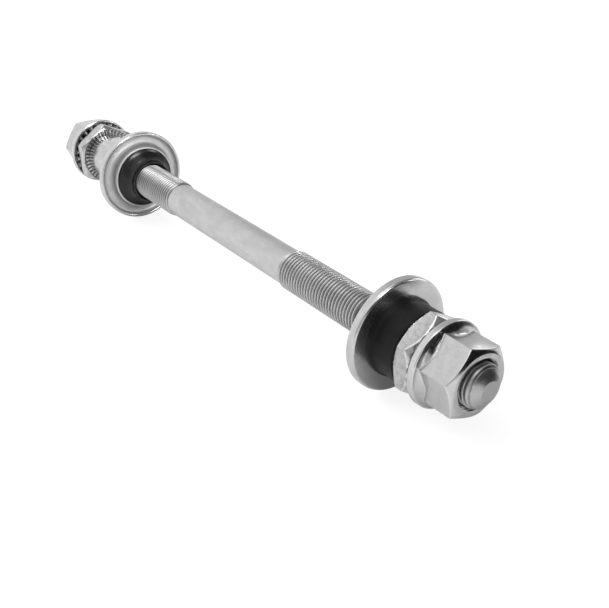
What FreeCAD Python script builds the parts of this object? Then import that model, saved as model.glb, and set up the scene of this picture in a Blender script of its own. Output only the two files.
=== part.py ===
import FreeCAD, Part
import math
import os

# Threaded rear hub axle set for a bicycle: one axle with its cones, dust caps,
# spacer, lock nuts and serrated flange nuts.
# Millimetres. The axle lies along X with its middle at the origin and +Z up.
# The left end (+X) is the short stack, the right end (-X) also carries the spacer.

# Axle
AXLE_LENGTH = 180.0
THREAD_DIAMETER = 9.9
THREAD_LENGTH = 64.0
THREAD_RUNOUT = 0.7
SHANK_DIAMETER = 9.0
TIP_TAPER_LENGTH = 2.0
TIP_SHOULDER_DIAMETER = 8.4
TIP_SHOULDER_FROM_END = 0.9
TIP_FACE_DIAMETER = 4.6

# What stands out of the flange nuts at each end
LEFT_TIP_LENGTH = 2.8
RIGHT_TIP_LENGTH = 3.3

# Clearances: round every threaded bore, inside the loose spacer, between stacked faces
THREAD_CLEARANCE = 0.05
SPACER_CLEARANCE = 0.10
FACE_CLEARANCE = 0.05

# Flange nut
NUT_ACROSS_FLATS = 15.0
NUT_HEIGHT = 10.8
NUT_FACE_DIAMETER = 13.7
NUT_CHAMFER_ANGLE = 31.0
FLANGE_DIAMETER = 19.6
FLANGE_THICKNESS = 2.4
FLANGE_EDGE = 0.3
COVE_RADIUS = 2.2
NUT_TOOTH_COUNT = 24
NUT_TOOTH_RING_HEIGHT = 0.75
NUT_TOOTH_DEPTH = 0.7
NUT_TOOTH_RING_DIAMETER = 18.6

# Lock nut
LOCK_ACROSS_FLATS = 17.0
LOCK_HEIGHT = 4.4
LOCK_OUTER_FACE_DIAMETER = 16.3
LOCK_OUTER_CHAMFER_ANGLE = 44.0
LOCK_INNER_FACE_DIAMETER = 16.9
LOCK_INNER_CHAMFER_ANGLE = 32.0
LOCK_TOOTH_COUNT = 40
LOCK_TOOTH_DEPTH = 0.5
LOCK_TOOTH_RING_DIAMETER = 16.3

# Both nuts: countersink at each mouth, plain ring round it inside the teeth,
# and the share of the tooth pitch that a groove takes
NUT_COUNTERSINK = 0.7
TOOTH_INNER_LAND = 0.5
GROOVE_SHARE = 0.86

# Cone
CONE_LENGTH = 16.0
CONE_DIAMETER = 17.2
CONE_END_CHAMFER = 0.45
CONE_COUNTERSINK = 0.55
CONE_COLLAR_DIAMETER = 18.2
CONE_COLLAR_LENGTH = 0.7
CONE_COLLAR_FILLET = 0.6
CAP_FROM_CONE_END = 7.3
RACE_LENGTH = 4.5
RACE_RADIUS = 3.6
NOSE_DIAMETER = 11.8
NOSE_CHAMFER = 0.35

# Dust cap
CAP_DIAMETER = 26.0
CAP_RIM_DEPTH = 2.2
CAP_WALL = 0.9
CAP_CORNER_RADIUS = 0.6
CAP_RIM_FILLET = 0.9
CAP_LIP_WALL = 0.5
CAP_LIP_FILLET = 1.6
CAP_LIP_HEIGHT = 3.8
CAP_EDGE_CHAMFER = 0.3

# Spacer
SPACER_DIAMETER = 13.8
SPACER_LENGTH = 12.0
SPACER_CHAMFER = 0.3

# How far each hexagon is turned about the axle, in degrees from a corner straight up
LEFT_NUT_TURN = 13.8
LEFT_LOCK_TURN = 0.0
RIGHT_LOCK_TURN = 4.0
RIGHT_NUT_TURN = 28.0

# Values that follow from the ones above
THREAD_RADIUS = THREAD_DIAMETER / 2
BORE_RADIUS = THREAD_RADIUS + THREAD_CLEARANCE
CONE_RADIUS = CONE_DIAMETER / 2
SPACER_RADIUS = SPACER_DIAMETER / 2
SPACER_BORE_RADIUS = THREAD_RADIUS + SPACER_CLEARANCE
TOOTH_INNER_RADIUS = BORE_RADIUS + NUT_COUNTERSINK + TOOTH_INNER_LAND
HALF_AXLE = AXLE_LENGTH / 2

X_AXIS = FreeCAD.Vector(1, 0, 0)
Z_AXIS = FreeCAD.Vector(0, 0, 1)
ORIGIN = FreeCAD.Vector(0, 0, 0)


def at(x, r):
    """Point of a half section: x along the axle, r out from its axis."""
    return FreeCAD.Vector(x, 0, r)


def line(a, b):
    return Part.LineSegment(at(*a), at(*b)).toShape()


def arc(a, b, centre):
    """Short arc from a to b about centre."""
    mid_x = (a[0] + b[0]) / 2 - centre[0]
    mid_r = (a[1] + b[1]) / 2 - centre[1]
    radius = math.hypot(a[0] - centre[0], a[1] - centre[1])
    reach = radius / math.hypot(mid_x, mid_r)
    middle = (centre[0] + mid_x * reach, centre[1] + mid_r * reach)
    return Part.Arc(at(*a), at(*middle), at(*b)).toShape()


def polyline(points):
    return [line(a, b) for a, b in zip(points, points[1:])]


def turned(edges):
    """Solid turned about the axle from the closed half section that the edges make."""
    wire = Part.Wire(edges)
    return Part.Face(wire).revolve(ORIGIN, X_AXIS, 360)


def turned_polygon(points):
    return turned(polyline(points + points[:1]))


def hex_prism(across_flats, x_start, x_end):
    """Hexagonal bar along X with a corner straight up."""
    corner_radius = across_flats / math.sqrt(3)
    corners = []
    for step in range(7):
        angle = math.radians(60 * step)
        y = -corner_radius * math.sin(angle)
        z = corner_radius * math.cos(angle)
        corners.append(FreeCAD.Vector(x_start, y, z))
    face = Part.Face(Part.makePolygon(corners))
    return face.extrude(X_AXIS * (x_end - x_start))


def past_corners(across_flats):
    """Radius a little outside a hexagon's corners, for the cones that chamfer them."""
    return 0.6 * across_flats


def threaded_bore(x_start, x_end, countersink):
    """Bore for the axle's thread with a 45 degree countersink at both mouths."""
    outside_radius = BORE_RADIUS + 2 * countersink
    return turned_polygon([
        (x_start - countersink, 0),
        (x_start - countersink, outside_radius),
        (x_start + countersink, BORE_RADIUS),
        (x_end - countersink, BORE_RADIUS),
        (x_end + countersink, outside_radius),
        (x_end + countersink, 0),
    ])


def radial_groove(depth, half_angle, r_inner, r_outer):
    """V groove that widens outwards, cut into a face at x = 0 that looks towards -X."""
    sections = []
    for r in (r_inner, r_outer):
        half_width = r * math.tan(half_angle)
        sections.append(Part.makePolygon([
            FreeCAD.Vector(depth, 0, r),
            FreeCAD.Vector(-depth, -2 * half_width, r),
            FreeCAD.Vector(-depth, 2 * half_width, r),
            FreeCAD.Vector(depth, 0, r),
        ]))
    return Part.makeLoft(sections, True, True)


def radial_teeth_cutter(count, depth, r_inner, r_outer):
    """All grooves between the radial teeth of a face at x = 0."""
    half_angle = math.pi / count * GROOVE_SHARE
    first = radial_groove(depth, half_angle, r_inner, r_outer)
    grooves = []
    for index in range(count):
        groove = first.copy()
        groove.rotate(ORIGIN, X_AXIS, 360 * index / count)
        grooves.append(groove)
    return Part.makeCompound(grooves)


def make_axle():
    """Rod threaded at both ends, with a plain shank and tips that taper in two steps."""
    thread_start = HALF_AXLE - THREAD_LENGTH
    shank_radius = SHANK_DIAMETER / 2
    left_half = [
        (thread_start - THREAD_RUNOUT, shank_radius),
        (thread_start, THREAD_RADIUS),
        (HALF_AXLE - TIP_TAPER_LENGTH, THREAD_RADIUS),
        (HALF_AXLE - TIP_SHOULDER_FROM_END, TIP_SHOULDER_DIAMETER / 2),
        (HALF_AXLE, TIP_FACE_DIAMETER / 2),
        (HALF_AXLE, 0),
    ]
    right_half = [(-x, r) for x, r in reversed(left_half)]
    return turned_polygon(right_half + left_half)


def make_flange():
    """Round foot of the flange nut: toothed ring, rim and the cove up to the hexagon."""
    ring_radius = NUT_TOOTH_RING_DIAMETER / 2
    rim_radius = FLANGE_DIAMETER / 2
    cove_foot = (FLANGE_THICKNESS, rim_radius - FLANGE_EDGE)
    cove_top = (FLANGE_THICKNESS + COVE_RADIUS, rim_radius - FLANGE_EDGE - COVE_RADIUS)
    cove_centre = (FLANGE_THICKNESS + COVE_RADIUS, rim_radius - FLANGE_EDGE)
    foot = polyline([
        (cove_top[0], 0),
        (0, 0),
        (0, ring_radius - FLANGE_EDGE),
        (FLANGE_EDGE, ring_radius),
        (NUT_TOOTH_RING_HEIGHT, ring_radius),
        (NUT_TOOTH_RING_HEIGHT, rim_radius - FLANGE_EDGE),
        (NUT_TOOTH_RING_HEIGHT + FLANGE_EDGE, rim_radius),
        (FLANGE_THICKNESS - FLANGE_EDGE, rim_radius),
        cove_foot,
    ])
    cove = arc(cove_foot, cove_top, cove_centre)
    return turned(foot + [cove, line(cove_top, (cove_top[0], 0))])


def make_flange_nut():
    """One-piece nut, toothed bearing face at x = 0 and outer face at x = NUT_HEIGHT."""
    slope = math.tan(math.radians(NUT_CHAMFER_ANGLE))
    face_radius = NUT_FACE_DIAMETER / 2
    far_radius = past_corners(NUT_ACROSS_FLATS)
    chamfer_blank = turned_polygon([
        (0, 0),
        (0, far_radius),
        (NUT_HEIGHT - (far_radius - face_radius) * slope, far_radius),
        (NUT_HEIGHT, face_radius),
        (NUT_HEIGHT, 0),
    ])
    hexagon = hex_prism(NUT_ACROSS_FLATS, FLANGE_THICKNESS / 2, NUT_HEIGHT).common(chamfer_blank)
    nut = make_flange().fuse(hexagon).removeSplitter()
    nut = nut.cut(threaded_bore(0, NUT_HEIGHT, NUT_COUNTERSINK))
    rim_radius = FLANGE_DIAMETER / 2
    return nut.cut(radial_teeth_cutter(NUT_TOOTH_COUNT, NUT_TOOTH_DEPTH, TOOTH_INNER_RADIUS, rim_radius))


def make_lock_nut():
    """Thin hexagon nut, toothed face at x = 0 towards the hub, plain face outside."""
    inner_slope = math.tan(math.radians(LOCK_INNER_CHAMFER_ANGLE))
    outer_slope = math.tan(math.radians(LOCK_OUTER_CHAMFER_ANGLE))
    inner_radius = LOCK_INNER_FACE_DIAMETER / 2
    outer_radius = LOCK_OUTER_FACE_DIAMETER / 2
    far_radius = past_corners(LOCK_ACROSS_FLATS)
    blank = turned_polygon([
        (0, 0),
        (0, inner_radius),
        ((far_radius - inner_radius) * inner_slope, far_radius),
        (LOCK_HEIGHT - (far_radius - outer_radius) * outer_slope, far_radius),
        (LOCK_HEIGHT, outer_radius),
        (LOCK_HEIGHT, 0),
    ])
    nut = hex_prism(LOCK_ACROSS_FLATS, 0, LOCK_HEIGHT).common(blank)
    nut = nut.cut(threaded_bore(0, LOCK_HEIGHT, NUT_COUNTERSINK))
    ring_radius = LOCK_TOOTH_RING_DIAMETER / 2
    return nut.cut(radial_teeth_cutter(LOCK_TOOTH_COUNT, LOCK_TOOTH_DEPTH, TOOTH_INNER_RADIUS, ring_radius))


def make_cone():
    """Bearing cone. x = 0 is the dust cap's outer face, the ball race looks towards -X."""
    outer_end = CAP_FROM_CONE_END
    nose = outer_end - CONE_LENGTH
    race_start = nose + RACE_LENGTH
    nose_radius = NOSE_DIAMETER / 2
    collar_radius = CONE_COLLAR_DIAMETER / 2
    race_edge = (race_start, CONE_RADIUS)
    race_foot = (nose + NOSE_CHAMFER, nose_radius)
    outside = polyline([
        (nose, 0),
        (nose, nose_radius - NOSE_CHAMFER),
        race_foot,
    ])
    race = arc(race_foot, race_edge, race_centre(race_foot, race_edge))
    body = polyline([
        race_edge,
        (0, CONE_RADIUS),
        (0, collar_radius),
        (CONE_COLLAR_LENGTH, collar_radius),
        (CONE_COLLAR_LENGTH + CONE_COLLAR_FILLET, CONE_RADIUS),
        (outer_end - CONE_END_CHAMFER, CONE_RADIUS),
        (outer_end, CONE_RADIUS - CONE_END_CHAMFER),
        (outer_end, 0),
        (nose, 0),
    ])
    return turned(outside + [race] + body).cut(threaded_bore(nose, outer_end, CONE_COUNTERSINK))


def race_centre(foot, edge):
    """Centre of the race's arc, out towards the hub, from its two ends and its radius."""
    along_x = edge[0] - foot[0]
    along_r = edge[1] - foot[1]
    chord = math.hypot(along_x, along_r)
    rise = math.sqrt(RACE_RADIUS ** 2 - (chord / 2) ** 2)
    mid_x = (edge[0] + foot[0]) / 2
    mid_r = (edge[1] + foot[1]) / 2
    return (mid_x - along_r / chord * rise, mid_r + along_x / chord * rise)


def make_dust_cap():
    """Turned cap pressed on the cone: flat outer face at x = 0, rim and lip towards -X."""
    rim_outer = CAP_DIAMETER / 2
    rim_inner = rim_outer - CAP_WALL
    lip_outer = CONE_RADIUS + CAP_LIP_WALL
    rim_fillet_end = -CAP_WALL - CAP_RIM_FILLET
    lip_fillet_end = -CAP_WALL - CAP_LIP_FILLET
    corner_top = (-CAP_CORNER_RADIUS, rim_outer)
    corner_foot = (0, rim_outer - CAP_CORNER_RADIUS)
    corner_centre = (-CAP_CORNER_RADIUS, rim_outer - CAP_CORNER_RADIUS)
    rim_foot = (-CAP_WALL, rim_inner - CAP_RIM_FILLET)
    rim_centre = (rim_fillet_end, rim_inner - CAP_RIM_FILLET)
    lip_foot = (-CAP_WALL, lip_outer + CAP_LIP_FILLET)
    lip_centre = (lip_fillet_end, lip_outer + CAP_LIP_FILLET)
    edges = [line((0, CONE_RADIUS), corner_foot)]
    edges.append(arc(corner_foot, corner_top, corner_centre))
    edges += polyline([
        corner_top,
        (-CAP_RIM_DEPTH + CAP_EDGE_CHAMFER, rim_outer),
        (-CAP_RIM_DEPTH, rim_outer - CAP_EDGE_CHAMFER),
        (-CAP_RIM_DEPTH, rim_inner + CAP_EDGE_CHAMFER),
        (-CAP_RIM_DEPTH + CAP_EDGE_CHAMFER, rim_inner),
        (rim_fillet_end, rim_inner),
    ])
    edges.append(arc((rim_fillet_end, rim_inner), rim_foot, rim_centre))
    edges.append(line(rim_foot, lip_foot))
    edges.append(arc(lip_foot, (lip_fillet_end, lip_outer), lip_centre))
    edges += polyline([
        (lip_fillet_end, lip_outer),
        (-CAP_LIP_HEIGHT + CAP_EDGE_CHAMFER, lip_outer),
        (-CAP_LIP_HEIGHT, lip_outer - CAP_EDGE_CHAMFER),
        (-CAP_LIP_HEIGHT, CONE_RADIUS),
        (0, CONE_RADIUS),
    ])
    return turned(edges)


def make_spacer():
    """Plain polished tube between the right cone and its lock nut."""
    return turned_polygon([
        (0, SPACER_BORE_RADIUS),
        (0, SPACER_RADIUS - SPACER_CHAMFER),
        (SPACER_CHAMFER, SPACER_RADIUS),
        (SPACER_LENGTH - SPACER_CHAMFER, SPACER_RADIUS),
        (SPACER_LENGTH, SPACER_RADIUS - SPACER_CHAMFER),
        (SPACER_LENGTH, SPACER_BORE_RADIUS),
    ])


def placed(shape, x, side, turn=0.0):
    """Move a piece to x; side -1 faces it the other way, turn spins it about the axle."""
    piece = shape.copy()
    if side < 0:
        piece.rotate(ORIGIN, Z_AXIS, 180)
    piece.rotate(ORIGIN, X_AXIS, turn)
    piece.translate(X_AXIS * (x * side))
    return piece


def stack_positions(tip_length, spacer_length):
    """Distances from the middle of the axle to where each piece of one stack starts."""
    nut = HALF_AXLE - tip_length - NUT_HEIGHT
    lock = nut - FACE_CLEARANCE - LOCK_HEIGHT
    spacer = lock
    if spacer_length > 0:
        spacer = lock - FACE_CLEARANCE - spacer_length
    cap = spacer - FACE_CLEARANCE - CAP_FROM_CONE_END
    return nut, lock, spacer, cap


def build_parts():
    axle = make_axle()
    flange_nut = make_flange_nut()
    lock_nut = make_lock_nut()
    cone = make_cone()
    dust_cap = make_dust_cap()
    left_nut, left_lock, _, left_cap = stack_positions(LEFT_TIP_LENGTH, 0)
    right_nut, right_lock, right_spacer, right_cap = stack_positions(RIGHT_TIP_LENGTH, SPACER_LENGTH)
    return {
        "axle": axle,
        "left_flange_nut": placed(flange_nut, left_nut, 1, LEFT_NUT_TURN),
        "left_lock_nut": placed(lock_nut, left_lock, 1, LEFT_LOCK_TURN),
        "left_cone": placed(cone, left_cap, 1),
        "left_dust_cap": placed(dust_cap, left_cap, 1),
        "right_dust_cap": placed(dust_cap, right_cap, -1),
        "right_cone": placed(cone, right_cap, -1),
        "right_spacer": placed(make_spacer(), right_spacer, -1),
        "right_lock_nut": placed(lock_nut, right_lock, -1, RIGHT_LOCK_TURN),
        "right_flange_nut": placed(flange_nut, right_nut, -1, RIGHT_NUT_TURN),
    }


os.makedirs("parts", exist_ok=True)
for name, shape in build_parts().items():
    shape.exportStep("parts/" + name + ".step")
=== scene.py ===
import math

import bmesh
import bpy
import numpy as np
from mathutils import Matrix, Vector


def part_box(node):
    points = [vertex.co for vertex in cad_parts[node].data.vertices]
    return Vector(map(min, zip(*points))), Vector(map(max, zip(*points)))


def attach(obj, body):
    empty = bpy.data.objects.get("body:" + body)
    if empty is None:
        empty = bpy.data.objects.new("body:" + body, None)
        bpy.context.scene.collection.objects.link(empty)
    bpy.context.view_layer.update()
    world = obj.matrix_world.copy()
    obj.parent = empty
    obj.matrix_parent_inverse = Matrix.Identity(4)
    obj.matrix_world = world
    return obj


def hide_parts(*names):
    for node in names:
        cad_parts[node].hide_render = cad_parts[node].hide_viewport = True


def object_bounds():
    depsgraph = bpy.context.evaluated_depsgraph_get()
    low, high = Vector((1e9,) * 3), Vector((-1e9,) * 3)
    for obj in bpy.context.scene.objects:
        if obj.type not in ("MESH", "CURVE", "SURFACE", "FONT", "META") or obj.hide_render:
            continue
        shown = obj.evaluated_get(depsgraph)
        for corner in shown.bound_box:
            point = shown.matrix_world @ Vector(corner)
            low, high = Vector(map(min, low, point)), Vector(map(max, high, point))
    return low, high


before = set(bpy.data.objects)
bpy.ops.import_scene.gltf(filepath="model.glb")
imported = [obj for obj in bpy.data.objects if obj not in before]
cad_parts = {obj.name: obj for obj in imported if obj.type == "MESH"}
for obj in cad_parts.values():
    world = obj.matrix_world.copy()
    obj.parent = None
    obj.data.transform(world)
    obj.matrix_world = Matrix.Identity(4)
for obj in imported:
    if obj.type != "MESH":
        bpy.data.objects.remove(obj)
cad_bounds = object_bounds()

# Rear hub axle set: threaded rod, cones, dust caps, spacer, lock nuts and flange nuts.
# Each piece is turned or milled in mesh code from its own section, in millimetres, and
# placed by its node's box. Radii and angles are measured about the axle, which lies on X.

MM = 0.001

# Thread, the same on the rod and in every nut
PITCH = 1.0
CREST_RADIUS = 4.95
ROOT_RADIUS = 4.36
BORE_RADIUS = 5.0
NUT_COUNTERSINK = 0.7
CONE_COUNTERSINK = 0.55

# Rod; the painted shade in its thread's roots is set by end, 1 for +X and -1 for -X
SHANK_RADIUS = 4.5
THREAD_LENGTH = 64.0
THREAD_LEAD_IN = 1.35
RUNOUT_LENGTH = 1.4
ROOT_SHADE = {1: 0.5, -1: 1.7}
TIP_FROM_END = (2.0, 1.15, 0.55, 0.12, 0.0)
TIP_RADII = (4.95, 4.42, 3.55, 2.5, 2.2)
TIP_FACE_CENTRE_RADIUS = 1.0
DULL_TIP_LENGTH = 5.0

# Flange nut; the painted shade on its tooth ring starts some way in from the ring's edge
NUT_ACROSS_FLATS = 15.0
NUT_FACE_RADIUS = 6.85
NUT_CHAMFER = math.radians(31.0)
FLANGE_RADIUS = 9.8
FLANGE_THICKNESS = 2.4
FLANGE_ROUND = 0.3
# Worn plating on the flange rim's rounded edges, painted brighter as a highlight too
RIM_WEAR_AND_HIGHLIGHT = 0.5
COVE_RADIUS = 2.2
NUT_TEETH = 24
NUT_TOOTH_DEPTH = 0.7
NUT_TOOTH_RING_RADIUS = 9.3
NUT_TOOTH_RING_HEIGHT = 0.75
NUT_TOOTH_RING_ROUND = 0.2
NUT_RING_SHADE_START = 0.7
NUT_RING_SHADE = 0.85
NUT_RING_WALL_SHADE = 0.7

# Cove of the flange nut: shares of its arc and their wear, painted brighter as a highlight too,
# then how far past it the flats start and their wear with painted highlight
COVE_STEPS = ((0.12, 0.6), (0.3, 0.0), (0.5, 0.0), (0.7, 0.0), (0.88, 0.0), (1.0, 0.9))
COVE_EDGE = ((0.14, 0.9), (0.30, 0.0))

# Lock nut
LOCK_ACROSS_FLATS = 17.0
LOCK_OUTER_FACE_RADIUS = 8.15
LOCK_OUTER_CHAMFER = math.radians(44.0)
LOCK_INNER_FACE_RADIUS = 8.45
LOCK_INNER_CHAMFER = math.radians(32.0)
LOCK_TEETH = 40
LOCK_TOOTH_DEPTH = 0.5
LOCK_TOOTH_RING_RADIUS = 8.15
LOCK_TOOTH_SHADE = 0.55
LOCK_EDGE = 0.16
LOCK_CHAMFER_START = 0.06

# Teeth of both nuts; the ramp gives how far out from the land and the share of the depth
TOOTH_INNER_LAND = 0.5
TOOTH_RAMP = ((0.08, 0.7), (0.2, 1.0))
GROOVE_SHARE = 0.86
GROOVE_FLOOR_SHARE = 0.94

# Eased edges of both nuts. On a flat: how far below its edge, how far in, wear. On the
# chamfer: how far in, how far below it, wear. On the face and the bore: width and depth.
# The wear is worn plating, painted brighter as an edge highlight too.
FLAT_EASE = ((0.26, 0.0, 0.0), (0.16, 0.01, 0.5), (0.07, 0.05, 1.0))
CHAMFER_EASE = ((0.13, 0.03, 1.0), (0.30, 0.0, 0.2))
FACE_EASE = 0.08
FACE_EASE_DEPTH = 0.03
BORE_EASE = 0.06
BORE_EASE_DEPTH = 0.04
HEXAGON_CORNER_ROUND = 0.25

# Cone and dust cap; the cap's outer face is x = 0 in both sections
CONE_RADIUS = 8.6
COLLAR_RADIUS = 9.1
COLLAR_LENGTH = 0.7
COLLAR_FILLET = 0.6
RACE_LENGTH = 4.5
RACE_RADIUS = 3.6
NOSE_RADIUS = 5.9
NOSE_LENGTH = 0.35
CONE_END_CHAMFER = 0.45
SMALL_FILLET = 0.1
CAP_WALL = 0.9
CAP_RIM_DEPTH = 2.2
CAP_CORNER = 0.6
CAP_RIM_FILLET = 0.9
CAP_RIM_ROUND = 0.34
CAP_LIP_WALL = 0.5
CAP_LIP_FILLET = 1.6
CAP_LIP_HEIGHT = 3.8
CAP_LIP_ROUND = 0.3
CAP_LIP_INNER_ROUND = 0.08
CAP_SATIN = 0.35
CAP_SHADE_REACH = 1.6
CAP_SHADE_WIDTH = 1.5
SPACER_RADIUS = 6.9
SPACER_BORE_RADIUS = 5.05
SPACER_FILLET = 0.28

# How far each hexagon is turned from a corner straight up, in degrees
TURNS = {
    "left_flange_nut": 13.8,
    "left_lock_nut": 0.0,
    "right_lock_nut": 4.0,
    "right_flange_nut": 28.0,
}

# Fineness of the meshes
LATHE_COLUMNS = 180
THREAD_COLUMNS = 64
WIDEST_COLUMN = math.radians(1.7)
NARROWEST_COLUMN = math.radians(0.12)
GROOVE_MARKS = (0.06, 0.5, 0.92, 1.0)
CORNER_MARKS = (-0.9, -0.45, 0.0, 0.45, 0.9)
CORNER_STEPS = 5
RACE_STEPS = 14
SHANK_ROWS = 13
DOME_ROWS = 9
MERGE_DISTANCE = 0.002
COLLAPSE_DISTANCE = 0.0005
TURNED_SHARP_ANGLE = math.radians(32)
THREAD_SHARP_ANGLE = math.radians(18)


def span(node):
    """Lowest and highest x of a node, in millimetres."""
    low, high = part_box(node)
    return low[0] / MM, high[0] / MM


def placement(x, side, turn=0.0):
    """The move from a piece's own section to its place; side -1 faces it towards -X."""
    facing = Matrix.Rotation(math.pi, 4, "Z") if side < 0 else Matrix.Identity(4)
    spin = Matrix.Rotation(math.radians(turn), 4, "X")
    return Matrix.Translation((x * MM, 0, 0)) @ spin @ facing @ Matrix.Scale(MM, 4)


# Meshes


class Rows:
    """Rings of a section, from the first to the last, each over the same columns."""

    def __init__(self, angles):
        self.angles = angles
        self.x = []
        self.r = []
        self.edge = []
        self.shade_and_gloss = []

    def add(self, x, r, edge=0.0, shade_and_gloss=0.0):
        """One ring; edge marks worn plating, also painted brighter as an edge highlight, and the
        last mask marks painted shade in hollows and a glossier race on the cone.
        """
        flat = np.ones(len(self.angles))
        self.x.append(x * flat)
        self.r.append(r * flat)
        self.edge.append(edge * flat)
        self.shade_and_gloss.append(shade_and_gloss * flat)


def even_columns(count):
    return np.linspace(0, 2 * math.pi, count, endpoint=False)


def mesh_object(name, points, faces, masks, sharp_angle):
    """An object with a value per point for each mask; edges past the angle stay sharp."""
    mesh = bpy.data.meshes.new(name)
    mesh.from_pydata(points.tolist(), [], faces)
    for mask_name, values in masks.items():
        layer = mesh.attributes.new(mask_name, "FLOAT", "POINT")
        layer.data.foreach_set("value", np.asarray(values, dtype=np.float32))
    work = bmesh.new()
    work.from_mesh(mesh)
    bmesh.ops.remove_doubles(work, verts=work.verts, dist=MERGE_DISTANCE)
    bmesh.ops.dissolve_degenerate(work, dist=COLLAPSE_DISTANCE, edges=work.edges)
    bmesh.ops.recalc_face_normals(work, faces=work.faces)
    for face in work.faces:
        face.smooth = True
    for edge in work.edges:
        edge.smooth = len(edge.link_faces) == 2 and edge.calc_face_angle(0.0) < sharp_angle
    work.to_mesh(mesh)
    work.free()
    piece = bpy.data.objects.new(name, mesh)
    bpy.context.scene.collection.objects.link(piece)
    return piece


def surface_points(x, r, angles):
    """Points at x along the axle, r out from it and an angle from straight up."""
    points = np.stack([x, -r * np.sin(angles), r * np.cos(angles)], axis=-1)
    return points.reshape(-1, 3)


def ring_faces(row_count, column_count):
    """Quads between rows, from the last row back to the first, as in a pierced piece."""
    faces = []
    for i in range(row_count):
        low = i * column_count
        high = ((i + 1) % row_count) * column_count
        for j in range(column_count):
            k = (j + 1) % column_count
            faces.append((low + j, low + k, high + k, high + j))
    return faces


def turned_piece(name, rows, place):
    """A piece with a bore: its section's last row meets its first."""
    x = np.array(rows.x)
    r = np.array(rows.r)
    points = surface_points(x, r, rows.angles)
    faces = ring_faces(len(x), len(rows.angles))
    masks = {"edge": np.array(rows.edge).ravel(), "shade_and_gloss": np.array(rows.shade_and_gloss).ravel()}
    piece = mesh_object(name, points, faces, masks, TURNED_SHARP_ANGLE)
    piece.data.transform(place)
    return piece


def rounded(corners):
    """Corner points (x, r, fillet) of a closed section, each corner turned into an arc.

    The points that come back are (x, r, wear), with the wear highest mid-arc.
    """
    outline = []
    for i, (x, r, fillet) in enumerate(corners):
        here = np.array((x, r))
        before = np.array(corners[i - 1][:2]) - here
        after = np.array(corners[(i + 1) % len(corners)][:2]) - here
        if fillet == 0:
            outline.append((x, r, 0.0))
            continue
        to_before = before / np.linalg.norm(before)
        to_after = after / np.linalg.norm(after)
        half = math.acos(np.clip(to_before @ to_after, -1, 1)) / 2
        reach = fillet / math.tan(half)
        middle = to_before + to_after
        centre = here + middle / np.linalg.norm(middle) * fillet / math.sin(half)
        start = here + to_before * reach - centre
        end = here + to_after * reach - centre
        for step in range(CORNER_STEPS + 1):
            share = step / CORNER_STEPS
            spoke = start * (1 - share) + end * share
            point = centre + spoke / np.linalg.norm(spoke) * fillet
            outline.append((point[0], point[1], 1.0 - abs(2 * share - 1)))
    return outline


def lathe(name, corners, place, shade_and_gloss=None):
    """A turned piece; the mask function tells for each x and r of its section how much painted
    shade and gloss it has there.
    """
    rows = Rows(even_columns(LATHE_COLUMNS))
    for x, r, edge in rounded(corners):
        rows.add(x, r, edge, shade_and_gloss(x, r) if shade_and_gloss else 0.0)
    return turned_piece(name, rows, place)


def arc_corners(start, end, radius):
    """Points between start and end on an arc bulging towards the axle, as in a ball race."""
    a = np.array(start)
    b = np.array(end)
    chord = b - a
    length = np.linalg.norm(chord)
    rise = math.sqrt(radius ** 2 - (length / 2) ** 2)
    centre = (a + b) / 2 + np.array((-chord[1], chord[0])) / length * rise
    points = []
    for step in range(1, RACE_STEPS):
        spoke = a * (1 - step / RACE_STEPS) + b * step / RACE_STEPS - centre
        point = centre + spoke / np.linalg.norm(spoke) * radius
        points.append((point[0], point[1], 0.0))
    return points


# Nuts


def nut_columns(teeth):
    """Angles of the columns: at each tooth's flanks, at the hexagon's rounded corners."""
    tooth = 2 * math.pi / teeth
    half_groove = tooth / 2 * GROOVE_SHARE
    marks = []
    for index in range(teeth):
        middle = index * tooth
        for part in GROOVE_MARKS:
            marks += [middle - half_groove * part, middle + half_groove * part]
        marks.append(middle + tooth / 2)
    for corner in range(6):
        for mark in CORNER_MARKS:
            marks.append(corner * math.pi / 3 + math.radians(mark))
    marks = np.sort(np.mod(marks, 2 * math.pi))
    kept = [marks[0]]
    for mark in marks[1:]:
        gap = mark - kept[-1]
        if gap < NARROWEST_COLUMN:
            continue
        extra = int(gap / WIDEST_COLUMN)
        kept += [kept[-1] + gap * (k + 1) / (extra + 1) for k in range(extra)]
        kept.append(mark)
    return np.array(kept)


def hexagon_radius(angles, across_flats):
    """Distance from the axle to a hexagon with a corner straight up, its corners eased."""
    off_corner = np.mod(angles + math.pi / 6, math.pi / 3) - math.pi / 6
    flat = across_flats / 2 / np.cos(math.pi / 6 - np.abs(off_corner))
    bend = HEXAGON_CORNER_ROUND
    centre = (across_flats / 2 - bend) / math.cos(math.pi / 6)
    inside = np.maximum(bend ** 2 - (centre * np.sin(off_corner)) ** 2, 0)
    eased = centre * np.cos(off_corner) + np.sqrt(inside)
    tangent = math.atan2(bend * 0.5, centre + bend * math.cos(math.pi / 6))
    return np.where(np.abs(off_corner) < tangent, eased, flat)


def groove_depth(angles, teeth, depth):
    """How far the toothed face lies below the tooth tips at each column."""
    tooth = 2 * math.pi / teeth
    off_groove = np.abs(np.mod(angles + tooth / 2, tooth) - tooth / 2)
    share = np.clip(1 - off_groove / (tooth / 2 * GROOVE_SHARE), 0, 1)
    return depth * np.minimum(share, GROOVE_FLOOR_SHARE)


def add_bore(rows, height):
    """From the outer face's countersink through the bore to the toothed face's one."""
    mouth = BORE_RADIUS + NUT_COUNTERSINK
    rows.add(height, mouth + BORE_EASE)
    rows.add(height - BORE_EASE_DEPTH, mouth, 1.0)
    # Painted shade inside the bore, down to near black
    rows.add(height - NUT_COUNTERSINK, BORE_RADIUS, 0.0, 1.0)
    rows.add(NUT_COUNTERSINK, BORE_RADIUS, 0.0, 1.0)
    rows.add(BORE_EASE_DEPTH, mouth, 1.0)
    rows.add(0.0, mouth + BORE_EASE)


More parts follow.
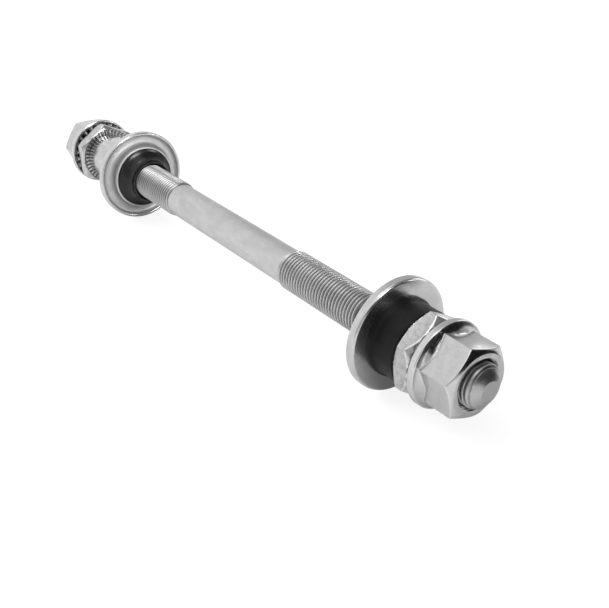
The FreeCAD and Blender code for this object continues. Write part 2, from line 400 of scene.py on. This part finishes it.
def add_teeth(rows, teeth, depth, outer_radius, shade_amount):
    """Toothed face from its inner land outwards; the last argument tells how much painted shade
    darkens the grooves.
    """
    inner = BORE_RADIUS + NUT_COUNTERSINK + TOOTH_INNER_LAND
    deep = groove_depth(rows.angles, teeth, depth)
    groove_shade = deep / depth * shade_amount
    rows.add(0.0, inner)
    for out, share in TOOTH_RAMP:
        rows.add(deep * share, inner + out, 0.0, groove_shade)
    rows.add(deep, outer_radius, 0.0, groove_shade)
    return deep


def add_chamfered_end(rows, hexagon, height, face_radius, slope):
    """Top of the flats, the eased edge, the chamfer cone and the flat face."""
    along = hexagon - face_radius
    edge_x = height - along * slope
    for below, inset, wear_and_highlight in FLAT_EASE:
        rows.add(edge_x - below, hexagon - inset, wear_and_highlight)
    for inset, below, wear_and_highlight in CHAMFER_EASE:
        rows.add(height - (along - inset) * slope - below, hexagon - inset, wear_and_highlight)
    rows.add(height - FACE_EASE_DEPTH, face_radius + FACE_EASE)
    rows.add(height, face_radius - FACE_EASE)


def flange_nut(node, x, side):
    """Hexagon nut with a round flange, coved into the flats and toothed underneath."""
    low, high = span(node)
    height = high - low
    rows = Rows(nut_columns(NUT_TEETH))
    hexagon = hexagon_radius(rows.angles, NUT_ACROSS_FLATS)
    ring = NUT_TOOTH_RING_RADIUS
    deep = add_teeth(rows, NUT_TEETH, NUT_TOOTH_DEPTH, ring - NUT_RING_SHADE_START, 1.0)
    # Painted shade on the tooth ring's outer part and its wall, under the flange
    painted_shade = np.maximum(deep / NUT_TOOTH_DEPTH, NUT_RING_SHADE)
    rows.add(deep, ring - 0.25, 0.0, painted_shade)
    rows.add(np.maximum(deep, 0.06), ring - 0.1, 0.0, painted_shade)
    rows.add(np.maximum(deep, NUT_TOOTH_RING_ROUND), ring, 0.0, NUT_RING_WALL_SHADE)
    rows.add(NUT_TOOTH_RING_HEIGHT, ring, 0.0, NUT_RING_WALL_SHADE)
    for x_ring, r_ring, wear_and_highlight in rim_outline():
        rows.add(x_ring, r_ring, wear_and_highlight)
    foot = FLANGE_RADIUS - FLANGE_ROUND
    end = np.arcsin((foot - hexagon) / COVE_RADIUS)
    for share, wear_and_highlight in COVE_STEPS:
        cove_x = FLANGE_THICKNESS + COVE_RADIUS * (1 - np.cos(end * share))
        rows.add(cove_x, foot - COVE_RADIUS * np.sin(end * share), wear_and_highlight)
    for past, wear_and_highlight in COVE_EDGE:
        rows.add(cove_x + past, hexagon, wear_and_highlight)
    add_chamfered_end(rows, hexagon, height, NUT_FACE_RADIUS, math.tan(NUT_CHAMFER))
    add_bore(rows, height)
    return turned_piece(node + "_steel", rows, placement(x, side, TURNS[node]))


def rim_outline():
    """Outside of the flange: two rounded edges with a narrow plain band between."""
    low = NUT_TOOTH_RING_HEIGHT
    high = FLANGE_THICKNESS
    outline = [(low, FLANGE_RADIUS - FLANGE_ROUND, 0.0)]
    for step in range(1, CORNER_STEPS + 1):
        turn = math.pi / 2 * step / CORNER_STEPS
        x = low + FLANGE_ROUND * (1 - math.cos(turn))
        outline.append((x, FLANGE_RADIUS - FLANGE_ROUND * (1 - math.sin(turn)), RIM_WEAR_AND_HIGHLIGHT))
    for step in range(CORNER_STEPS + 1):
        turn = math.pi / 2 * step / CORNER_STEPS
        x = high - FLANGE_ROUND * (1 - math.sin(turn))
        outline.append((x, FLANGE_RADIUS - FLANGE_ROUND * (1 - math.cos(turn)), RIM_WEAR_AND_HIGHLIGHT))
    return outline


def lock_nut(node, x, side):
    """Thin hexagon nut, chamfered on both faces, with fine teeth towards the hub."""
    low, high = span(node)
    height = high - low
    rows = Rows(nut_columns(LOCK_TEETH))
    hexagon = hexagon_radius(rows.angles, LOCK_ACROSS_FLATS)
    ring = LOCK_TOOTH_RING_RADIUS
    face = LOCK_INNER_FACE_RADIUS
    # Painted shade in the lock nut's grooves, lighter than on the flange nut
    deep = add_teeth(rows, LOCK_TEETH, LOCK_TOOTH_DEPTH, ring - 0.1, LOCK_TOOTH_SHADE)
    rows.add(deep * 0.5, ring)
    rows.add(0.0, ring + 0.08)
    slope = math.tan(LOCK_INNER_CHAMFER)
    along = hexagon - face
    rows.add(0.02, face + 0.04)
    near_edge = np.maximum(hexagon - LOCK_EDGE, face + LOCK_CHAMFER_START)
    rows.add(np.maximum(along - LOCK_EDGE, LOCK_CHAMFER_START) * slope, near_edge)
    # Worn plating on the inner chamfer's edge, painted brighter as a highlight too
    rows.add(along * slope, hexagon - 0.04, 1.0)
    rows.add(along * slope + 0.1, hexagon, 0.4)
    add_chamfered_end(rows, hexagon, height, LOCK_OUTER_FACE_RADIUS, math.tan(LOCK_OUTER_CHAMFER))
    add_bore(rows, height)
    return turned_piece(node + "_steel", rows, placement(x, side, TURNS[node]))


# Cone, dust cap and spacer


def cone(node, cap_face, side):
    """Bearing cone: nose, concave race, body, collar beside the cap and chamfered end."""
    low, high = span(node)
    outer_end = (high - cap_face) if side > 0 else (cap_face - low)
    nose = outer_end - (high - low)
    race_start = nose + RACE_LENGTH
    mouth = BORE_RADIUS + CONE_COUNTERSINK
    foot = (nose + NOSE_LENGTH, NOSE_RADIUS)
    corners = [
        (nose, mouth, SMALL_FILLET),
        (nose, NOSE_RADIUS - 0.1, SMALL_FILLET),
        (foot[0], foot[1], 0.0),
    ]
    corners += arc_corners(foot, (race_start, CONE_RADIUS), RACE_RADIUS)
    corners += [
        (race_start, CONE_RADIUS, 0.15),
        (0.0, CONE_RADIUS, 0.0),
        (0.0, COLLAR_RADIUS, 0.0),
        (COLLAR_LENGTH, COLLAR_RADIUS, 0.12),
        (COLLAR_LENGTH + COLLAR_FILLET, CONE_RADIUS, 0.3),
        (outer_end - CONE_END_CHAMFER, CONE_RADIUS, 0.2),
        (outer_end, CONE_RADIUS - CONE_END_CHAMFER, SMALL_FILLET),
        (outer_end, mouth, SMALL_FILLET),
        (outer_end - CONE_COUNTERSINK, BORE_RADIUS, 0.0),
        (nose + CONE_COUNTERSINK, BORE_RADIUS, 0.0),
    ]

    def race(x, r):
        return 1.0 if x < race_start else 0.0

    return lathe(node + "_black", corners, placement(cap_face, side), race)


def dust_cap(node, cap_face, side):
    """Pressed cap: flat outer face, turned-in rim and a lip that grips the cone."""
    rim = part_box(node)[1][2] / MM
    depth = CAP_LIP_HEIGHT
    inner = rim - CAP_WALL
    lip = CONE_RADIUS + CAP_LIP_WALL
    corners = [
        (0.0, CONE_RADIUS, 0.0),
        (0.0, rim, CAP_CORNER),
        (-CAP_RIM_DEPTH, rim, CAP_RIM_ROUND),
        (-CAP_RIM_DEPTH, inner, CAP_RIM_ROUND),
        (-CAP_WALL, inner, CAP_RIM_FILLET),
        (-CAP_WALL, lip, CAP_LIP_FILLET),
        (-depth, lip, CAP_LIP_ROUND),
        (-depth, CONE_RADIUS, CAP_LIP_INNER_ROUND),
    ]

    def trough_satin_and_shade(x, r):
        if x > -CAP_WALL + 0.05 or r > inner + 0.1:
            return 0.0
        if x <= -depth + 0.5:
            return CAP_SATIN
        # Painted shade on the trough's colour, strongest beside the lip; elsewhere the trough is
        # only satin
        beside_lip = np.clip((lip + CAP_SHADE_REACH - r) / CAP_SHADE_WIDTH, 0, 1)
        return CAP_SATIN + (1 - CAP_SATIN) * beside_lip

    return lathe(node + "_plated", corners, placement(cap_face, side), trough_satin_and_shade)


def spacer(node, x, side):
    low, high = span(node)
    length = high - low
    corners = [
        (0.0, SPACER_BORE_RADIUS, SMALL_FILLET),
        (0.0, SPACER_RADIUS, SPACER_FILLET),
        (length, SPACER_RADIUS, SPACER_FILLET),
        (length, SPACER_BORE_RADIUS, SMALL_FILLET),
    ]
    return lathe(node + "_polished", corners, placement(x, side))


# Rod


def thread_profile():
    """One turn of the thread: places along the pitch and heights from root 0 to crest 1."""
    return [
        (-0.09, 0.0), (0.09, 0.0), (0.16, 0.1), (0.34, 0.88),
        (0.41, 1.0), (0.59, 1.0), (0.66, 0.88), (0.84, 0.1),
    ]


def tip_radius(out, half_length):
    """Outside of the domed tip at a distance out from the middle of the rod."""
    return np.interp(half_length - out, TIP_FROM_END[::-1], TIP_RADII[::-1])


def threaded_end(half_length, direction):
    """Helical rows of one threaded end, from its runout at the shank to its domed tip."""
    shank_end = half_length - THREAD_LENGTH
    thread_end = half_length - np.interp(ROOT_RADIUS, TIP_RADII[::-1], TIP_FROM_END[::-1])
    share = np.linspace(0, 1, THREAD_COLUMNS + 1)
    angles = share * 2 * math.pi
    x_rows = []
    r_rows = []
    root_shade_rows = []
    turns = int((thread_end - shank_end) / PITCH) + 3
    for turn in range(turns):
        for along, height in thread_profile():
            x = shank_end - THREAD_LEAD_IN * PITCH + (turn + along) * PITCH
            if direction < 0:
                x = -x
            x = x + share * PITCH
            out = np.clip(x * direction, shank_end, thread_end)
            fade = np.clip((out - shank_end) / RUNOUT_LENGTH, 0, 1)
            fade = fade * fade * (3 - 2 * fade)
            thread = ROOT_RADIUS + (CREST_RADIUS - ROOT_RADIUS) * height
            radius = SHANK_RADIUS + (thread - SHANK_RADIUS) * fade
            x_rows.append(out * direction)
            r_rows.append(np.minimum(radius, tip_radius(out, half_length)))
            # Painted shade in the thread's roots, deepest at the root and faded in over the runout
            root_shade_rows.append(np.minimum(fade * (1 - height) * ROOT_SHADE[direction], 1))
    return np.array(x_rows), np.array(r_rows), np.array(root_shade_rows), angles


def rod(node):
    """Threaded rod: a helix and a domed tip at each end, with the plain shank between."""
    low, high = span(node)
    half_length = (high - low) / 2
    points = []
    faces = []
    shade_amount = []

    def add_rows(x, r, painted_shade, angles):
        start = sum(len(block) for block in points)
        count = x.shape[1]
        points.append(surface_points(x, r, angles))
        shade_amount.append(painted_shade.ravel())
        for i in range(x.shape[0] - 1):
            for j in range(count - 1):
                a = start + i * count + j
                faces.append((a, a + 1, a + count + 1, a + count))

    for direction in (1, -1):
        x, r, painted_shade, angles = threaded_end(half_length, direction)
        add_rows(x, r, painted_shade, angles)
        dome_x = np.linspace(abs(x).max(), half_length, DOME_ROWS)
        dome_r = np.append(tip_radius(dome_x, half_length), [TIP_FACE_CENTRE_RADIUS, 0.0])
        dome_x = np.append(dome_x, [half_length, half_length])
        tip_x = np.repeat(dome_x[:, None] * direction, len(angles), axis=1)
        tip_r = np.repeat(dome_r[:, None], len(angles), axis=1)
        add_rows(tip_x, tip_r, np.zeros_like(tip_r), angles)
    shank_end = half_length - THREAD_LENGTH
    shank_x = np.linspace(-shank_end, shank_end, SHANK_ROWS)
    shank_x = np.repeat(shank_x[:, None], len(angles), axis=1)
    shank_r = np.full_like(shank_x, SHANK_RADIUS)
    add_rows(shank_x, shank_r, np.zeros_like(shank_x), angles)
    points = np.concatenate(points)
    tip = np.clip(abs(points[:, 0]) - (half_length - DULL_TIP_LENGTH), 0, 1)
    masks = {"shade_amount": np.concatenate(shade_amount), "tip": tip}
    piece = mesh_object(node + "_rod", points, faces, masks, THREAD_SHARP_ANGLE)
    piece.data.transform(placement((low + high) / 2, 1))
    return piece


# Materials


class Shader:
    """A principled material with short ways to add and join nodes."""

    def __init__(self, name, **sockets):
        self.material = bpy.data.materials.new(name)
        self.material.use_nodes = True
        self.tree = self.material.node_tree
        self.surface = self.tree.nodes["Principled BSDF"]
        for socket, value in sockets.items():
            self.surface.inputs[socket.replace("_", " ")].default_value = value

    def node(self, kind, **settings):
        made = self.tree.nodes.new(kind)
        for key, value in settings.items():
            setattr(made, key, value)
        return made

    def join(self, output, target):
        self.tree.links.new(output, target)

    def place(self, stretch=(1, 1, 1)):
        """Object coordinates in millimetres, stretched per axis."""
        coordinates = self.node("ShaderNodeTexCoord")
        mapping = self.node("ShaderNodeMapping")
        mapping.inputs["Scale"].default_value = [s / MM for s in stretch]
        self.join(coordinates.outputs["Object"], mapping.inputs["Vector"])
        return mapping.outputs["Vector"]

    def noise(self, scale, detail=4.0, roughness=0.55, stretch=(1, 1, 1), vector=None):
        made = self.node("ShaderNodeTexNoise")
        made.inputs["Scale"].default_value = scale
        made.inputs["Detail"].default_value = detail
        made.inputs["Roughness"].default_value = roughness
        self.join(vector or self.place(stretch), made.inputs["Vector"])
        return made.outputs["Fac"]

    def spread(self, value, low, high, to_low=0.0, to_high=1.0):
        made = self.node("ShaderNodeMapRange")
        made.inputs["From Min"].default_value = low
        made.inputs["From Max"].default_value = high
        made.inputs["To Min"].default_value = to_low
        made.inputs["To Max"].default_value = to_high
        self.join(value, made.inputs["Value"])
        return made.outputs["Result"]

    def blend(self, share, first, second):
        made = self.node("ShaderNodeMix", data_type="RGBA")
        self.join(share, made.inputs[0])
        for socket, colour in ((made.inputs[6], first), (made.inputs[7], second)):
            if isinstance(colour, tuple):
                socket.default_value = colour
            else:
                self.join(colour, socket)
        return made.outputs[2]

    def combine(self, first, second, operation="ADD"):
        made = self.node("ShaderNodeMath", operation=operation)
        for socket, value in ((made.inputs[0], first), (made.inputs[1], second)):
            if isinstance(value, float):
                socket.default_value = value
            else:
                self.join(value, socket)
        return made.outputs[0]

    def mask(self, name):
        return self.node("ShaderNodeAttribute", attribute_name=name).outputs["Fac"]

    def turning_marks(self, scale):
        """Fine rings round the axle: noise that changes with x and radius, not with angle."""
        coordinates = self.node("ShaderNodeTexCoord")
        parts = self.node("ShaderNodeSeparateXYZ")
        self.join(coordinates.outputs["Object"], parts.inputs["Vector"])
        across = self.node("ShaderNodeCombineXYZ")
        self.join(parts.outputs["Y"], across.inputs["X"])
        self.join(parts.outputs["Z"], across.inputs["Y"])
        length = self.node("ShaderNodeVectorMath", operation="LENGTH")
        self.join(across.outputs["Vector"], length.inputs[0])
        place = self.node("ShaderNodeCombineXYZ")
        self.join(self.combine(parts.outputs["X"], 1 / MM, "MULTIPLY"), place.inputs["X"])
        self.join(self.combine(length.outputs["Value"], 1 / MM, "MULTIPLY"), place.inputs["Y"])
        return self.noise(scale, detail=2.0, vector=place.outputs["Vector"])

    def colour(self, output):
        self.join(output, self.surface.inputs["Base Color"])

    def specular(self, output):
        self.join(output, self.surface.inputs["Specular IOR Level"])

    def roughness(self, output):
        self.join(output, self.surface.inputs["Roughness"])

    def relief(self, height, depth_mm, strength=1.0):
        bump = self.node("ShaderNodeBump")
        bump.inputs["Distance"].default_value = depth_mm * MM
        bump.inputs["Strength"].default_value = strength
        self.join(height, bump.inputs["Height"])
        self.join(bump.outputs["Normal"], self.surface.inputs["Normal"])


def grey(value):
    return (value, value, value, 1.0)


def zinc_material(name, low, high):
    """Zinc plate: cloudy grey, with fine pits, worn edges painted brighter as edge highlights too
    and painted shade in the hollows.
    """
    shader = Shader(name, Metallic=1.0)
    clouds = shader.noise(0.7, detail=6.0, roughness=0.65)
    pits = shader.noise(3.2, detail=3.0)
    tone = shader.blend(shader.spread(clouds, 0.36, 0.66), grey(low), grey(high))
    tone = shader.blend(shader.spread(pits, 0.60, 0.75, 0.0, 0.35), tone, grey(0.42))
    # Worn plating on the edges, painted brighter as an edge highlight too, broken up by the pits
    worn_and_highlit = shader.combine(shader.mask("edge"), shader.spread(pits, 0.3, 0.55), "MULTIPLY")
    # Painted shade in bores, tooth grooves and under the flange, down to near black
    tone = shader.blend(shader.spread(shader.mask("shade_and_gloss"), 0.15, 0.85), tone, grey(0.09))
    shader.colour(shader.blend(worn_and_highlit, tone, grey(0.76)))
    shader.roughness(shader.spread(clouds, 0.3, 0.7, 0.23, 0.14))
    shader.relief(shader.combine(clouds, pits), 0.010, 0.5)
    return shader.material


def cap_material():
    """Nickel on the pressed caps: faint turning rings, a few dark specks, a satin inside and
    painted shade beside the lip.
    """
    shader = Shader("nickel_plate", Metallic=1.0)
    rings = shader.turning_marks(5.0)
    clouds = shader.noise(0.3, detail=5.0)
    specks = shader.noise(1.6, detail=2.0, roughness=0.4)
    tone = shader.blend(shader.spread(clouds, 0.35, 0.65), grey(0.57), grey(0.65))
    tone = shader.blend(shader.spread(specks, 0.70, 0.74, 0.0, 0.4), tone, grey(0.25))
    trough_satin_and_shade = shader.mask("shade_and_gloss")
    # Painted shade beside the lip darkens the trough's colour
    shader.colour(shader.blend(shader.spread(trough_satin_and_shade, 0.35, 1.0), tone, grey(0.40)))
    smooth = shader.spread(clouds, 0.3, 0.7, 0.24, 0.17)
    shader.roughness(shader.combine(smooth, shader.spread(trough_satin_and_shade, 0.0, 0.35, 0.0, 0.32)))
    shader.relief(rings, 0.002, 0.4)
    return shader.material


def spacer_material():
    """Bright polished tube with faint turning rings."""
    shader = Shader("bright_tube", Metallic=1.0)
    rings = shader.turning_marks(4.0)
    clouds = shader.noise(0.35, detail=5.0)
    shader.colour(shader.blend(shader.spread(clouds, 0.35, 0.65), grey(0.56), grey(0.64)))
    shader.roughness(shader.spread(clouds, 0.3, 0.7, 0.24, 0.16))
    shader.relief(rings, 0.002, 0.4)
    return shader.material


def cone_material():
    """Blackened hardened steel: satin black outside, glossier in the race."""
    shader = Shader("black_steel", Metallic=0.0)
    race = shader.mask("shade_and_gloss")
    shader.specular(shader.spread(race, 0.0, 1.0, 0.20, 0.42))
    rings = shader.turning_marks(4.0)
    clouds = shader.noise(0.5, detail=5.0)
    scuffs = shader.noise(1.1, detail=6.0, roughness=0.7)
    tone = shader.blend(shader.spread(clouds, 0.35, 0.65), grey(0.002), grey(0.005))
    tone = shader.blend(shader.spread(scuffs, 0.66, 0.78, 0.0, 0.6), tone, grey(0.02))
    shader.colour(tone)
    satin = shader.spread(clouds, 0.3, 0.7, 0.42, 0.32)
    shader.roughness(shader.combine(satin, shader.spread(race, 0.0, 1.0, 1.0, 0.62), "MULTIPLY"))
    shader.relief(rings, 0.003, 0.4)
    return shader.material


def rod_material():
    """Plated rod: satin grey with bright scuffs, dull tips and painted shade in the thread's
    roots.
    """
    shader = Shader("plated_rod", Metallic=1.0)
    clouds = shader.noise(0.35, detail=6.0, roughness=0.6, stretch=(0.5, 1, 1))
    grain = shader.noise(5.0, detail=3.0, stretch=(0.3, 1, 1))
    scuffs = shader.noise(1.5, detail=6.0, roughness=0.75, stretch=(0.25, 1, 1))
    tone = shader.blend(shader.spread(clouds, 0.35, 0.65), grey(0.53), grey(0.62))
    tone = shader.blend(shader.spread(scuffs, 0.58, 0.68, 0.0, 0.7), tone, grey(0.76))
    tone = shader.blend(shader.mask("tip"), tone, grey(0.48))
    # Painted shade: the thread's roots darken to near black
    shader.colour(shader.blend(shader.mask("shade_amount"), tone, grey(0.05)))
    satin = shader.spread(clouds, 0.3, 0.7, 0.36, 0.28)
    shader.roughness(shader.combine(satin, shader.spread(shader.mask("tip"), 0.0, 1.0, 0.0, 0.04)))
    shader.relief(shader.combine(clouds, grain), 0.010, 0.5)
    return shader.material


# The set

MATERIALS = {
    "axle_steel": rod_material(),
    "nut_steel": zinc_material("zinc_plate", 0.54, 0.61),
    "cone_steel": cone_material(),
    "cap_steel": cap_material(),
    "spacer_steel": spacer_material(),
}
LOCK_NUT_ZINC = zinc_material("mottled_zinc", 0.40, 0.62)


def fit(piece, node, body, slot, material=None):
    """Stand a piece for its node, on the node's body and in its material slot."""
    piece.data.materials.append(material or MATERIALS[slot])
    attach(piece, body)
    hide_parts(node)


fit(rod("axle"), "axle", "axle", "axle_steel")
for prefix, side in (("left", 1), ("right", -1)):
    nut_node = prefix + "_flange_nut"
    lock_node = prefix + "_lock_nut"
    cone_node = prefix + "_cone"
    cap_node = prefix + "_dust_cap"
    inner, outer = (0, 1) if side > 0 else (1, 0)
    cap_face = span(cap_node)[outer]
    nut = flange_nut(nut_node, span(nut_node)[inner], side)
    fit(nut, nut_node, nut_node, "nut_steel")
    lock = lock_nut(lock_node, span(lock_node)[inner], side)
    fit(lock, lock_node, lock_node, "nut_steel", LOCK_NUT_ZINC)
    fit(cone(cone_node, cap_face, side), cone_node, cone_node, "cone_steel")
    fit(dust_cap(cap_node, cap_face, side), cap_node, cone_node, "cap_steel")
tube = spacer("right_spacer", span("right_spacer")[1], -1)
fit(tube, "right_spacer", "right_spacer", "spacer_steel")


# Floor, light and camera

CAMERA_PLACE = Vector((0.18196, -0.11276, 0.09877))
CAMERA_RIGHT = Vector((0.5986, 0.8010, 0.0))
CAMERA_UP = Vector((-0.3935, 0.2941, 0.8710))
LENS = 53.27

FLOOR_HALF_SIZE = 3.0
FLOOR_GAP = 0.0002

# Patches of the room: azimuth, elevation, half-angle of the even middle and of the edge, level
ROOM_LEVEL = 0.56
ROOM_PATCHES = [
    (-145, 20, 32, 62, 0.98),
    (168, 8, 15, 32, 1.00),
    (45, 45, 22, 46, 0.26),
    (28, 14, 12, 26, 0.08),
    (0, 90, 12, 28, 1.42),
    (-75, 64, 12, 30, 1.22),
    (-4, 54, 8, 20, 1.40),
]

# Black card beside the near end, on an upright arc: its turn in degrees, lower and upper edge
BLACK_CARD = [
    (-49, 0.0260, 0.0480), (-34, 0.0230, 0.0480), (-24, 0.0166, 0.0480), (-12, 0.0083, 0.0480),
    (0, 0.0026, 0.0460), (10, -0.0040, 0.0400), (20, -0.0095, 0.0360), (30, -0.0125, 0.0350),
    (40, -0.0125, 0.0345), (52, -0.0125, 0.0340), (64, -0.0125, 0.0320),
]
BLACK_CARD_X = 0.082
BLACK_CARD_RADIUS = 0.045

# White card behind the near end: lowest and highest x, lowest and highest z, its y and glow
WHITE_CARD_X = (0.064, 0.0792)
WHITE_CARD_Z = (0.013, 0.030)
WHITE_CARD_Y = 0.034
WHITE_CARD_GLOW = 1.9

# Lamps: azimuth, elevation, width, height, power, whether the metal shows them
LAMPS = {
    "key": (-135, 41, 0.6, 0.5, 6.0, False),
    "front_glint": (9, 25, 0.24, 0.30, 4.0, True),
    "top_glint": (-120, 82, 0.16, 0.16, 0.5, True),
    "side_glint": (42, 12, 0.16, 0.16, 0.9, True),
}


def aim(azimuth, elevation):
    """Unit vector towards a place in the room, in degrees from +X and above the floor."""
    turn = math.radians(azimuth)
    rise = math.radians(elevation)
    across = math.cos(rise)
    return Vector((across * math.cos(turn), across * math.sin(turn), math.sin(rise)))


def add_floor():
    """White floor with a faint shadow for the camera and a fuller one in the metal."""
    size = FLOOR_HALF_SIZE
    mesh = bpy.data.meshes.new("floor")
    z = cad_bounds[0][2] - FLOOR_GAP
    corners = [(-size, -size, z), (size, -size, z), (size, size, z), (-size, size, z)]
    mesh.from_pydata(corners, [], [(0, 1, 2, 3)])
    floor = bpy.data.objects.new("floor", mesh)
    bpy.context.scene.collection.objects.link(floor)
    material = bpy.data.materials.new("floor_white")
    material.use_nodes = True
    nodes = material.node_tree.nodes
    links = material.node_tree.links
    nodes.clear()
    path = nodes.new("ShaderNodeLightPath")
    metal = nodes.new("ShaderNodeMath")
    metal.operation = "MAXIMUM"
    links.new(path.outputs["Is Glossy Ray"], metal.inputs[0])
    links.new(path.outputs["Is Transmission Ray"], metal.inputs[1])
    shown = nodes.new("ShaderNodeBsdfDiffuse")
    shown.inputs["Color"].default_value = grey(0.8)
    for ray, glow, paint in (
        (path.outputs["Is Camera Ray"], 0.85, 0.22),
        (metal.outputs[0], 0.04, 0.69),
    ):
        emission = nodes.new("ShaderNodeEmission")
        emission.inputs["Strength"].default_value = glow
        diffuse = nodes.new("ShaderNodeBsdfDiffuse")
        diffuse.inputs["Color"].default_value = grey(paint)
        both = nodes.new("ShaderNodeAddShader")
        links.new(emission.outputs[0], both.inputs[0])
        links.new(diffuse.outputs[0], both.inputs[1])
        choice = nodes.new("ShaderNodeMixShader")
        links.new(ray, choice.inputs[0])
        links.new(shown.outputs[0], choice.inputs[1])
        links.new(both.outputs[0], choice.inputs[2])
        shown = choice
    output = nodes.new("ShaderNodeOutputMaterial")
    links.new(shown.outputs[0], output.inputs["Surface"])
    floor.data.materials.append(material)


def add_world():
    """Room light by direction: an even grey tent with brighter and darker patches."""
    world = bpy.data.worlds.new("studio")
    bpy.context.scene.world = world
    world.use_nodes = True
    nodes = world.node_tree.nodes
    links = world.node_tree.links
    coordinates = nodes.new("ShaderNodeTexCoord")
    colour = grey(ROOM_LEVEL)
    for azimuth, elevation, inner, outer, level in ROOM_PATCHES:
        towards = nodes.new("ShaderNodeVectorMath")
        towards.operation = "DOT_PRODUCT"
        towards.inputs[1].default_value = aim(azimuth, elevation)
        links.new(coordinates.outputs["Generated"], towards.inputs[0])
        share = nodes.new("ShaderNodeMapRange")
        share.interpolation_type = "SMOOTHSTEP"
        share.inputs["From Min"].default_value = math.cos(math.radians(outer))
        share.inputs["From Max"].default_value = math.cos(math.radians(inner))
        links.new(towards.outputs["Value"], share.inputs["Value"])
        mix = nodes.new("ShaderNodeMix")
        mix.data_type = "RGBA"
        links.new(share.outputs["Result"], mix.inputs[0])
        if isinstance(colour, tuple):
            mix.inputs[6].default_value = colour
        else:
            links.new(colour, mix.inputs[6])
        mix.inputs[7].default_value = grey(level)
        colour = mix.outputs[2]
    links.new(colour, nodes["Background"].inputs["Color"])


def add_card(name, points, glow):
    """Card for reflections only, though it shades the lamps too; points pair low with high."""
    faces = [(k, k + 2, k + 3, k + 1) for k in range(0, len(points) - 2, 2)]
    mesh = bpy.data.meshes.new(name)
    mesh.from_pydata(points, [], faces)
    card = bpy.data.objects.new(name, mesh)
    card.visible_camera = False
    card.visible_diffuse = False
    material = bpy.data.materials.new(name)
    material.use_nodes = True
    paint = material.node_tree.nodes["Principled BSDF"]
    paint.inputs["Base Color"].default_value = grey(0.01)
    paint.inputs["Specular IOR Level"].default_value = 0.0
    paint.inputs["Emission Color"].default_value = grey(1.0)
    paint.inputs["Emission Strength"].default_value = glow
    card.data.materials.append(material)
    bpy.context.scene.collection.objects.link(card)


def black_card_points():
    points = []
    for turn, low, high in BLACK_CARD:
        x = BLACK_CARD_X + BLACK_CARD_RADIUS * math.cos(math.radians(turn))
        y = BLACK_CARD_RADIUS * math.sin(math.radians(turn))
        points += [(x, y, low), (x, y, high)]
    return points


def white_card_points():
    return [(x, WHITE_CARD_Y, z) for x in WHITE_CARD_X for z in WHITE_CARD_Z]


def add_softbox(name, azimuth, elevation, width, height, power, reflected):
    """Rectangular lamp a metre from the middle of the axle and facing it."""
    lamp = bpy.data.lights.new(name, "AREA")
    lamp.shape = "RECTANGLE"
    lamp.size = width
    lamp.size_y = height
    lamp.energy = power
    box = bpy.data.objects.new(name, lamp)
    place = aim(azimuth, elevation)
    box.location = place
    box.rotation_euler = (-place).to_track_quat("-Z", "Y").to_euler()
    box.visible_camera = False
    box.visible_glossy = reflected
    bpy.context.scene.collection.objects.link(box)


def add_camera():
    """Camera in front of the near end, looking down along the axle to the far one."""
    data = bpy.data.cameras.new("camera")
    data.lens = LENS
    data.sensor_width = 36.0
    data.clip_start = 0.001
    back = CAMERA_RIGHT.cross(CAMERA_UP)
    camera = bpy.data.objects.new("camera", data)
    turn = Matrix((CAMERA_RIGHT, CAMERA_UP, back)).transposed()
    camera.matrix_world = Matrix.Translation(CAMERA_PLACE) @ turn.to_4x4()
    bpy.context.scene.collection.objects.link(camera)
    bpy.context.scene.camera = camera


add_floor()
add_world()
add_card("black_card", black_card_points(), 0.0)
add_card("white_card", white_card_points(), WHITE_CARD_GLOW)
for lamp_name, settings in LAMPS.items():
    add_softbox(lamp_name, *settings)
add_camera()
bpy.context.scene.view_settings.view_transform = "Standard"
